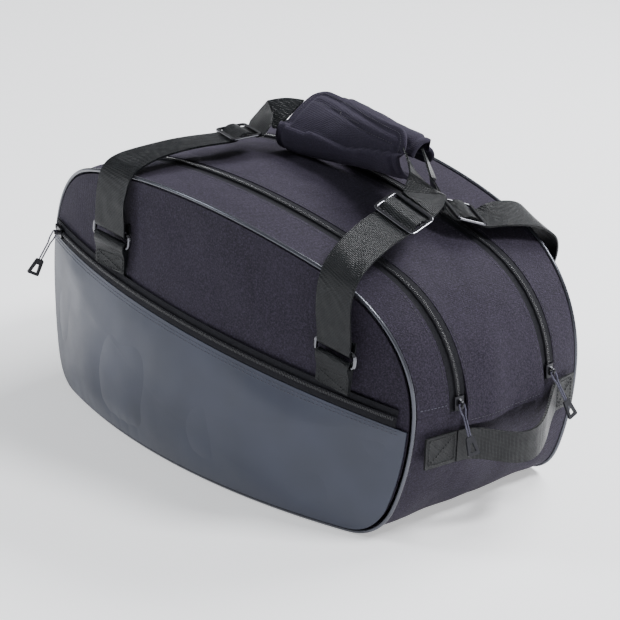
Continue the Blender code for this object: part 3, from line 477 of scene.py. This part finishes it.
def capsule(form, start, end, radius, up):
    """One stitch or tooth: a rod with tapered ends, its middle lifted a little."""
    along = (end - start).normalized()
    side = along.cross(up).normalized()
    top = side.cross(along)
    rings = []
    for share, width in ((0.0, 0.25), (0.15, 0.9), (0.5, 1.0), (0.85, 0.9), (1.0, 0.25)):
        middle = start.lerp(end, share) + top * radius * (0.9 * width - 0.5)
        ring = []
        for k in range(STITCH_SIDES):
            angle = math.tau * k / STITCH_SIDES
            spot = middle + (side * math.cos(angle) + top * math.sin(angle)) * radius * width
            ring.append(form.verts.new(spot))
        rings.append(ring)
    for a, b in zip(rings, rings[1:]):
        for k in range(STITCH_SIDES):
            after = (k + 1) % STITCH_SIDES
            form.faces.new((a[k], a[after], b[after], b[k]))
    form.faces.new(rings[0][::-1])
    form.faces.new(rings[-1])


class Stitches:
    """Rows of stitches on one piece's surface, gathered into one mesh."""

    def __init__(self, surface):
        self.tree = tree_of_mesh(surface)
        self.form = bmesh.new()

    def on_surface(self, spot, outward):
        """Nearest place on the outer face, and its normal."""
        place, normal, _, _ = self.tree.find_nearest(spot + outward * 0.002)
        return place, normal if normal.dot(outward) > 0 else -normal

    def row(self, points, outward, stitch=STITCH):
        """Even stitches along the points, on the face that looks outward."""
        length, gap, radius = stitch
        steps = even(points, length + gap)
        for a, b in zip(steps, steps[1:]):
            start, first = self.on_surface(a, outward)
            end, second = self.on_surface(a.lerp(b, length / (length + gap)), outward)
            if (end - start).length > length * LEAST_STITCH:
                capsule(self.form, start, end, radius, first + second)

    def finish(self, name, look, body):
        """The rows as one piece."""
        mesh = bpy.data.meshes.new(name)
        bmesh.ops.recalc_face_normals(self.form, faces=self.form.faces)
        self.form.to_mesh(mesh)
        self.form.free()
        mesh.shade_smooth()
        return add_piece(name, mesh, look, body)


def strip_edge_line(mesh, towards_back, angles):
    """A line on a strip's outer face, a little way in from its front or back edge."""
    line = []
    for angle in angles:
        points, out = fan_cut(mesh, angle)
        if len(points) < LEAST_CUT:
            continue
        y = points[:, 1]
        edge_y = y.max() - TOPSTITCH_INSET if towards_back else y.min() + TOPSTITCH_INSET
        near = points[np.abs(y - edge_y) < 0.006]
        if not len(near):
            continue
        top = near[np.argmax(near @ np.array(out))]
        line.append(Vector((top[0], edge_y, top[2])))
    return relaxed(line, 3)


def fan(start, end, count=90):
    """Even angles from start to end."""
    return [start + (end - start) * i / count for i in range(count + 1)]


def make_zip_side_stitches(walls):
    """Topstitching beside both lengthwise zips."""
    plan = (
        ("top_front_strip", True), ("top_centre_panel", False),
        ("top_centre_panel", True), ("top_back_strip", False),
    )
    for node, back in plan:
        mesh = walls[node].data
        stitches = Stitches(mesh)
        line = strip_edge_line(mesh, back, fan(0.015, math.pi - 0.015))
        for a, b in zip(line[::6], line[6::6]):
            middle = (a + b) / 2 - MIDDLE_LINE
            outward = Vector((middle.x, 0, middle.z + 0.03)).normalized()
            stitches.row([a, b], outward)
        stitches.finish(f"{node}_{'back' if back else 'front'}_stitches", "thread", "bag")


def make_seam_stitches(walls):
    """The light row where the front strip meets the base, and the row on the centre panel's hem."""
    mesh = walls["top_front_strip"].data
    stitches = Stitches(mesh)
    points, _ = fan_cut(mesh, SEAM_ANGLE)
    low, high = points[:, 1].min() + 0.001, points[:, 1].max() - 0.002
    x, z = points[:, 0].max(), points[:, 2].mean()
    stitches.row([Vector((x, low, z)), Vector((x, high, z))], Vector((1, 0, 0)))
    stitches.finish("front_strip_seam_stitches", "light_thread", "bag")
    mesh = walls["top_centre_panel"].data
    stitches = Stitches(mesh)
    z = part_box("top_centre_panel")[0].z + HEM_INSET
    points = cut(mesh, (0, 0, z), (0, 0, 1))
    right = points[points[:, 0] > MIDDLE_X]
    front, back = right[:, 1].min() + 0.003, right[:, 1].max() - 0.003
    x = right[:, 0].max()
    stitches.row([Vector((x, front, z)), Vector((x, back, z))], Vector((1, 0, 0)))
    stitches.finish("hem_stitches", "thread", "bag")


def make_pocket_stitches(walls):
    """Two rows along the pocket's top edge."""
    mesh = walls["pocket_panel"].data
    stitches = Stitches(mesh)
    low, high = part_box("pocket_panel")
    top = []
    for i in range(81):
        x = low.x + POCKET_ROW_END + (high.x - low.x - 2 * POCKET_ROW_END) * i / 80
        points = cut(mesh, (x, 0, 0), (1, 0, 0))
        best = points[np.argmax(points[:, 2])]
        top.append(Vector((x, points[:, 1].min(), best[2])))
    for drop in POCKET_ROWS:
        line = relaxed([p - Vector((0, 0, drop)) for p in top])
        stitches.row(line, Vector((0, -1, 0)), POCKET_STITCH)
    stitches.finish("pocket_edge_stitches", "light_thread", "bag")


def box_cross(stitches, corners, outward):
    """A box with a cross in it, as where webbing is sewn down."""
    a, b, c, d = corners
    for start, end in ((a, b), (b, c), (c, d), (d, a), (a, c), (b, d)):
        stitches.row([start, end], outward, CROSS_STITCH)


def make_webbing_stitches(webs):
    """Boxed crosses on the four chapes and on the grab handle's ends."""
    for handle, facing in (("front", -1), ("back", 1)):
        for side in ("left", "right"):
            node = f"{handle}_{side}_chape"
            low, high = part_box(node)
            y = low.y if facing < 0 else high.y
            stitches = Stitches(webs[node].data)
            inset, bottom, top = CHAPE_CROSS
            x0, x1 = low.x + inset, high.x - inset
            z0, z1 = low.z + bottom, low.z + top
            corners = [Vector((x, y, z)) for x, z in ((x0, z0), (x1, z0), (x1, z1), (x0, z1))]
            box_cross(stitches, corners, Vector((0, facing, 0)))
            stitches.finish(f"{node}_stitches", "web_thread", "bag")
    for end in ("front", "back"):
        node = f"grab_handle_{end}_end"
        low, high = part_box(node)
        stitches = Stitches(webs[node].data)
        y0, y1 = low.y + GRAB_CROSS, high.y - GRAB_CROSS
        z0, z1 = low.z + GRAB_CROSS, high.z - GRAB_CROSS
        corners = [Vector((high.x, y, z)) for y, z in ((y0, z0), (y1, z0), (y1, z1), (y0, z1))]
        box_cross(stitches, corners, Vector((1, 0, 0)))
        stitches.finish(f"{node}_stitches", "web_thread", "bag")


# ---------------------------------------------------------------- webbing


def make_webbing():
    """Straps, chapes and the grab handle: smoothed along their length, square at the edges."""
    webs = {}
    names = [n for n in NODES if n.endswith(("_strap", "_chape")) or n.startswith("grab_handle")]
    for node in sorted(names):
        mesh = smoothed(node, 3, 1.0)
        look = "grab_webbing" if node.startswith("grab") else "webbing"
        webs[node] = add_piece(f"{node}_web", mesh, look, body_of(node), [node])
    return webs


# ---------------------------------------------------------------- pads

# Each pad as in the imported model: its two ends in x, and its outer face across each end from
# the far edge to the near one, as (y, z) before the shift that centres the bag.
PADS = {
    "front": (
        (-0.030, 0.131),
        ((0.0600, 0.3195), (0.0400, 0.3105), (0.0220, 0.2985), (0.0120, 0.2870), (0.0140, 0.2765),
         (0.0280, 0.2725)),
        ((0.0170, 0.3290), (0.0095, 0.3170), (0.0085, 0.3040), (0.0140, 0.2925), (0.0230, 0.2865),
         (0.0335, 0.2840)),
    ),
    "back": (
        (-0.028, 0.123),
        ((0.1000, 0.2740), (0.0985, 0.2850), (0.0930, 0.2950), (0.0830, 0.2990), (0.0740, 0.2950),
         (0.0690, 0.2860)),
        ((0.0640, 0.2850), (0.0610, 0.2950), (0.0555, 0.3035), (0.0465, 0.3070), (0.0385, 0.3035),
         (0.0335, 0.2965)),
    ),
}
PAD_SHIFT = Vector((-0.0111, -0.0041, 0.0))
PAD_THICK = 0.007
PAD_CORNER = 0.016
PAD_GRID = (72, 44)
BINDING_WIDTH = 0.0062
BINDING_HALF = 0.0021  # half the bound edge's thickness, which is also its rounding
FILLING_HALF = 0.0013  # half the thickness beside the binding
FILLING_SWELL, FILLING_REACH = 0.0019, 0.0125  # more half thickness, reached this far from the edge
PUCKER, PUCKER_SIZE, PUCKER_REACH = 0.0007, 0.02, 0.014
CHANNEL_IN = 0.0172  # the sewn channel's distance from the far edge
CHANNEL_DEPTH, CHANNEL_WIDTH = 0.0015, 0.0013
CHANNEL_END = (0.008, 0.013)  # it grows over these distances from a pad's end
PAD_STITCH_IN = 0.0012  # the thread's distance from the binding's inner side
PAD_STITCH_REACH = 0.035  # how far across the ends the binding's thread is drawn


def pad_face(pad, u, v):
    """Outer face of a pad: u along it, v across it from its far edge."""
    (x_left, x_right), left, right = pad
    ease = u * u * (3 - 2 * u)
    section = [Vector(a).lerp(Vector(b), ease) for a, b in zip(left, right)]
    at = min(max(v, 0.0), 1.0) * (len(section) - 1)
    i = min(int(at), len(section) - 2)
    t = at - i
    p0, p1, p2, p3 = (section[max(0, min(len(section) - 1, k))] for k in range(i - 1, i + 3))
    spot = 0.5 * (
        2 * p1 + (p2 - p0) * t + (2 * p0 - 5 * p1 + 4 * p2 - p3) * t**2
        + (3 * p1 - p0 - 3 * p2 + p3) * t**3
    )
    return Vector((x_left + (x_right - x_left) * u, spot.x, spot.y)) + PAD_SHIFT


def pad_width_map(pad, u, steps=120):
    """Distances across the pad at u, to turn a distance into v."""
    lengths, last = [0.0], pad_face(pad, u, 0.0)
    for k in range(1, steps + 1):
        spot = pad_face(pad, u, k / steps)
        lengths.append(lengths[-1] + (spot - last).length)
        last = spot
    return lengths


def pad_half_thickness(rim, across, end):
    """Half the pad's thickness by the distance from its edge, its far side and its nearer end."""
    if rim < BINDING_WIDTH:
        inwards = min(rim / BINDING_HALF, 1.0)
        return max(BINDING_HALF * math.sqrt(max(0.0, 1 - (1 - inwards) ** 2)), 0.0002)
    full = FILLING_HALF + FILLING_SWELL * fade(rim, BINDING_WIDTH, FILLING_REACH)
    channel = CHANNEL_DEPTH * math.exp(-(((across - CHANNEL_IN) / CHANNEL_WIDTH) ** 2))
    return full - channel * fade(end, *CHANNEL_END)


def pad_spot(pad, u, across, widths):
    """A place on the pad's outer face, its normal, and its distances from the rim and the end."""
    length = pad[0][1] - pad[0][0]
    end = min(u, 1 - u) * length
    rim = min(end, across, widths[-1] - across)
    if end < PAD_CORNER and across < PAD_CORNER:
        rim = PAD_CORNER - math.hypot(PAD_CORNER - end, PAD_CORNER - across)
    v = float(np.interp(across, widths, np.linspace(0, 1, len(widths))))
    spot = pad_face(pad, u, v)
    step = 0.01
    along = pad_face(pad, min(u + step, 1), v) - pad_face(pad, max(u - step, 0), v)
    over = pad_face(pad, u, min(v + step, 1)) - pad_face(pad, u, max(v - step, 0))
    normal = along.cross(over).normalized()
    normal = normal if normal.z > 0 or v > 0.5 else -normal
    return spot, normal, rim, end


def pad_grid_spots(pad):
    """The pad's outer and inner face as rows of places, and each place's distance from the rim."""
    wide, deep = PAD_GRID
    top, bottom, rims = [], [], []
    for i in range(wide + 1):
        u = 0.5 - 0.5 * math.cos(math.pi * i / wide)
        widths = pad_width_map(pad, u)
        end = min(u, 1 - u) * (pad[0][1] - pad[0][0])
        start = 0.0
        if end < PAD_CORNER:
            start = PAD_CORNER - math.sqrt(PAD_CORNER**2 - (PAD_CORNER - end) ** 2)
        for j in range(deep + 1):
            share = 0.5 - 0.5 * math.cos(math.pi * j / deep)
            across = start + (widths[-1] - start) * share
            spot, normal, rim, end = pad_spot(pad, u, across, widths)
            pucker = PUCKER * noise.noise(spot / PUCKER_SIZE)
            half = pad_half_thickness(rim, across, end)
            half += pucker * fade(rim, BINDING_WIDTH, PUCKER_REACH)
            middle = spot - normal * PAD_THICK / 2
            top.append(middle + normal * half)
            bottom.append(middle - normal * half)
            rims.append(rim)
    return top, bottom, rims


def pad_mesh(name, pad):
    """The pad as one closed sheet: material 0 on the cloth and 1 on its binding."""
    wide, deep = PAD_GRID
    top, bottom, rims = pad_grid_spots(pad)
    form = bmesh.new()
    verts = [form.verts.new(spot) for spot in top + bottom]
    lower = len(top)
    row = deep + 1
    for i in range(wide):
        for j in range(deep):
            a = i * row + j
            ring = (a, a + 1, a + row + 1, a + row)
            binding = min(rims[k] for k in ring) < BINDING_WIDTH - 0.0002
            for shift, order in ((0, 1), (lower, -1)):
                face = form.faces.new([verts[k + shift] for k in ring[::order]])
                face.material_index = int(binding)
    edge = list(range(row)) + [i * row + deep for i in range(1, wide + 1)]
    edge += [wide * row + j for j in range(deep - 1, -1, -1)]
    edge += [i * row for i in range(wide - 1, 0, -1)]
    for a, b in zip(edge, edge[1:] + edge[:1]):
        face = form.faces.new((verts[a], verts[b], verts[b + lower], verts[a + lower]))
        face.material_index = 1
    bmesh.ops.remove_doubles(form, verts=form.verts, dist=1e-5)
    bmesh.ops.recalc_face_normals(form, faces=form.faces)
    mesh = bpy.data.meshes.new(name)
    form.to_mesh(mesh)
    form.free()
    mesh.shade_smooth()
    return mesh


def make_pad(handle):
    """Padded wrap with bound, rounded edges and a sewn channel along its far side."""
    pad = PADS[handle]
    node = f"{handle}_handle_pad"
    name = f"{handle}_pad_cloth"
    mesh = pad_mesh(name, pad)
    piece = add_piece(name, mesh, "pad_cloth", body_of(node), [node])
    mesh.materials.append(LOOKS["binding"])
    make_pad_stitches(handle, pad, mesh, body_of(node))


def make_pad_stitches(handle, pad, mesh, body):
    """Thread along the binding's inner side and along the channel."""
    stitches = Stitches(mesh)
    length = pad[0][1] - pad[0][0]
    inset = BINDING_WIDTH - PAD_STITCH_IN
    corner = PAD_CORNER - inset
    route = [(inset, PAD_STITCH_REACH)]
    for k in range(9):
        angle = math.pi / 2 * k / 8
        along, across = corner * math.cos(angle), corner * math.sin(angle)
        route.append((PAD_CORNER - along, PAD_CORNER - across))
    mirrored = [(length - along, across) for along, across in route[::-1]]
    bridge = [(PAD_CORNER + (length - 2 * PAD_CORNER) * k / 10, inset) for k in range(1, 10)]
    start = CHANNEL_END[1]
    channel = [(start + (length - 2 * start) * k / 12, CHANNEL_IN) for k in range(13)]
    for line in (route + bridge + mirrored, channel):
        spots = []
        for along, across in line:
            u = along / length
            spot, normal, _, _ = pad_spot(pad, u, across, pad_width_map(pad, u))
            spots.append((spot, normal))
        for (a, normal), (b, _) in zip(spots, spots[1:]):
            stitches.row([a, b], normal if normal.z > 0 else -normal, PAD_STITCH)
    stitches.finish(f"{handle}_pad_stitches", "thread", body)


# ---------------------------------------------------------------- zips


def teeth_mesh(name, line):
    """Nylon coil: a short rounded bar across the zip at every pitch.

    Each entry of the line is a place, the direction across the zip there, and the way out.
    """
    form = bmesh.new()
    centres = [spot for spot, _, _ in line]
    walked = even(centres, TOOTH_PITCH)
    tree = tree_of_points(centres)
    for k, (spot, ahead) in enumerate(zip(walked, walked[1:])):
        _, i, _ = tree.find(spot)
        _, across, out = line[i]
        along = (ahead - spot).normalized()
        skew = along * TOOTH_SKEW * (1 if k % 2 else -1)
        start = spot - across * TOOTH_HALF_WIDTH - skew
        end = spot + across * TOOTH_HALF_WIDTH + skew
        capsule(form, start, end, TOOTH_R, out)
    mesh = bpy.data.meshes.new(name)
    bmesh.ops.recalc_face_normals(form, faces=form.faces)
    form.to_mesh(mesh)
    form.free()
    mesh.shade_smooth()
    return add_piece(name, mesh, "zip_teeth")


def slope(line, i):
    """Direction of a line at its point i."""
    return (line[min(i + 1, len(line) - 1)] - line[max(i - 1, 0)]).normalized()


def make_top_teeth(prefix):
    """The coil of a lengthwise zip, midway between its two stringers all the way round the top."""
    front = NODES[f"{prefix}_stringer_front"].data
    back = NODES[f"{prefix}_stringer_back"].data
    line = []
    for angle in fan(0.004, math.pi - 0.004, 240):
        a, out = fan_cut(front, angle)
        b, _ = fan_cut(back, angle)
        if len(a) < LEAST_CUT or len(b) < LEAST_CUT:
            continue
        inner_a = a[a[:, 1] > a[:, 1].max() - INNER_EDGE]
        inner_b = b[b[:, 1] < b[:, 1].min() + INNER_EDGE]
        top_a = Vector(inner_a[np.argmax(reach_of(inner_a, out))])
        top_b = Vector(inner_b[np.argmax(reach_of(inner_b, out))])
        outer_a, outer_b = Vector(a[np.argmin(a[:, 1])]), Vector(b[np.argmax(b[:, 1])])
        line.append(((top_a + top_b) / 2, (outer_b - outer_a).normalized(), out))
    spots = relaxed([spot for spot, _, _ in line])
    directed = []
    for i, (spot, (_, across, out)) in enumerate(zip(spots, line)):
        along = slope(spots, i)
        normal = along.cross(across)
        normal = normal if normal.dot(out) > 0 else -normal
        side = normal.cross(along)
        directed.append((spot, side if side.y > 0 else -side, normal))
    teeth_mesh(f"{prefix}_teeth", directed)


def make_pocket_teeth():
    """The coil of the pocket's sloping zip."""
    upper = NODES["pocket_zip_stringer_upper"].data
    lower = NODES["pocket_zip_stringer_lower"].data
    low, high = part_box("pocket_zip_stringer_upper")
    line = []
    for i in range(161):
        x = low.x + 0.002 + (high.x - low.x - 0.004) * i / 160
        a, b = cut(upper, (x, 0, 0), (1, 0, 0)), cut(lower, (x, 0, 0), (1, 0, 0))
        if len(a) < LEAST_CUT or len(b) < LEAST_CUT:
            continue
        inner_a = a[a[:, 2] < a[:, 2].min() + INNER_EDGE]
        inner_b = b[b[:, 2] > b[:, 2].max() - INNER_EDGE]
        top_a = Vector(inner_a[np.argmin(inner_a[:, 1])])
        top_b = Vector(inner_b[np.argmin(inner_b[:, 1])])
        line.append((top_a + top_b) / 2)
    line = relaxed(line)
    directed = []
    for i, spot in enumerate(line):
        along = slope(line, i)
        out = along.cross(Vector((0, 0, 1)))
        out = (out if out.y < 0 else -out).normalized()
        directed.append((spot, out.cross(along), out))
    teeth_mesh("pocket_zip_teeth", directed)


# ---------------------------------------------------------------- piping


def make_piping():
    """Round piping along both panels' edges."""
    for side in ("front", "back"):
        node = f"{side}_piping"
        mesh = smoothed(node, 2, 0.0)
        add_piece(f"{side}_piping_cord", mesh, "piping", replaces=[node])


# ---------------------------------------------------------------- stage


def make_stage():
    """Pale floor and an even, dim studio round it."""
    bpy.ops.mesh.primitive_plane_add(size=12)
    floor = bpy.context.object
    floor.name = "floor"
    look = bpy.data.materials.new("pale floor")
    look.use_nodes = True
    shader = look.node_tree.nodes["Principled BSDF"]
    shader.inputs["Base Color"].default_value = (0.86, 0.86, 0.87, 1)
    shader.inputs["Roughness"].default_value = 0.9
    shader.inputs["Emission Color"].default_value = (1, 1, 1, 1)
    shader.inputs["Emission Strength"].default_value = 0.55
    floor.data.materials.append(look)
    world = bpy.data.worlds.new("studio")
    world.use_nodes = True
    world.node_tree.nodes["Background"].inputs["Color"].default_value = (0.95, 0.97, 1.0, 1)
    world.node_tree.nodes["Background"].inputs["Strength"].default_value = 0.26
    bpy.context.scene.world = world


def soft_light(name, place, size, power, colour):
    """A rectangular lamp that faces the bag."""
    data = bpy.data.lights.new(name, "AREA")
    data.shape = "RECTANGLE"
    data.size, data.size_y = size
    data.energy = power
    data.color = colour
    light = bpy.data.objects.new(name, data)
    bpy.context.scene.collection.objects.link(light)
    light.location = place
    light.rotation_mode = "QUATERNION"
    light.rotation_quaternion = (Vector(place) - CAMERA_TARGET).to_track_quat("Z", "Y")


def make_lights():
    """A high lamp behind the bag, one over its +X end and a weaker one on the left of the pocket."""
    soft_light("key", (0.0, 1.6, 1.9), (1.5, 0.7), 75, (0.97, 0.98, 1.0))
    soft_light("side", (1.6, 0.9, 2.6), (0.7, 0.7), 105, (0.97, 0.98, 1.0))
    soft_light("left", (-2.0, -1.8, 2.0), (0.9, 0.9), 48, (0.90, 0.95, 1.0))


def make_camera():
    """Camera at the place that the constants at the top give, turned a little about its axis."""
    back = Vector((
        math.sin(AZIMUTH) * math.cos(ELEVATION),
        -math.cos(AZIMUTH) * math.cos(ELEVATION),
        math.sin(ELEVATION),
    ))
    right = Vector((0, 0, 1)).cross(back).normalized()
    up = back.cross(right)
    turned_right = right * math.cos(ROLL) + up * math.sin(ROLL)
    turned_up = up * math.cos(ROLL) - right * math.sin(ROLL)
    data = bpy.data.cameras.new("camera")
    data.lens = data.sensor_width / 2 / math.tan(FIELD_OF_VIEW / 2)
    camera = bpy.data.objects.new("camera", data)
    bpy.context.scene.collection.objects.link(camera)
    place = Matrix((turned_right, turned_up, back)).transposed().to_4x4()
    place.translation = CAMERA_TARGET + back * CAMERA_DISTANCE
    camera.matrix_world = place
    bpy.context.scene.camera = camera


# ---------------------------------------------------------------- all of it


def dress_nodes():
    """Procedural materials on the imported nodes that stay."""
    slots = {part["node"]: part["material_slot"] for part in frame["record"]["subparts"]}
    for name, obj in NODES.items():
        obj.data.materials.clear()
        obj.data.materials.append(LOOKS[slots[name]])


make_stage()
make_lights()
make_camera()
dress_nodes()
walls = make_walls()
webs = make_webbing()
for handle in PADS:
    make_pad(handle)
make_piping()
for prefix in ("front_zip", "main_zip"):
    make_top_teeth(prefix)
make_pocket_teeth()
make_zip_side_stitches(walls)
make_seam_stitches(walls)
make_pocket_stitches(walls)
make_webbing_stitches(webs)
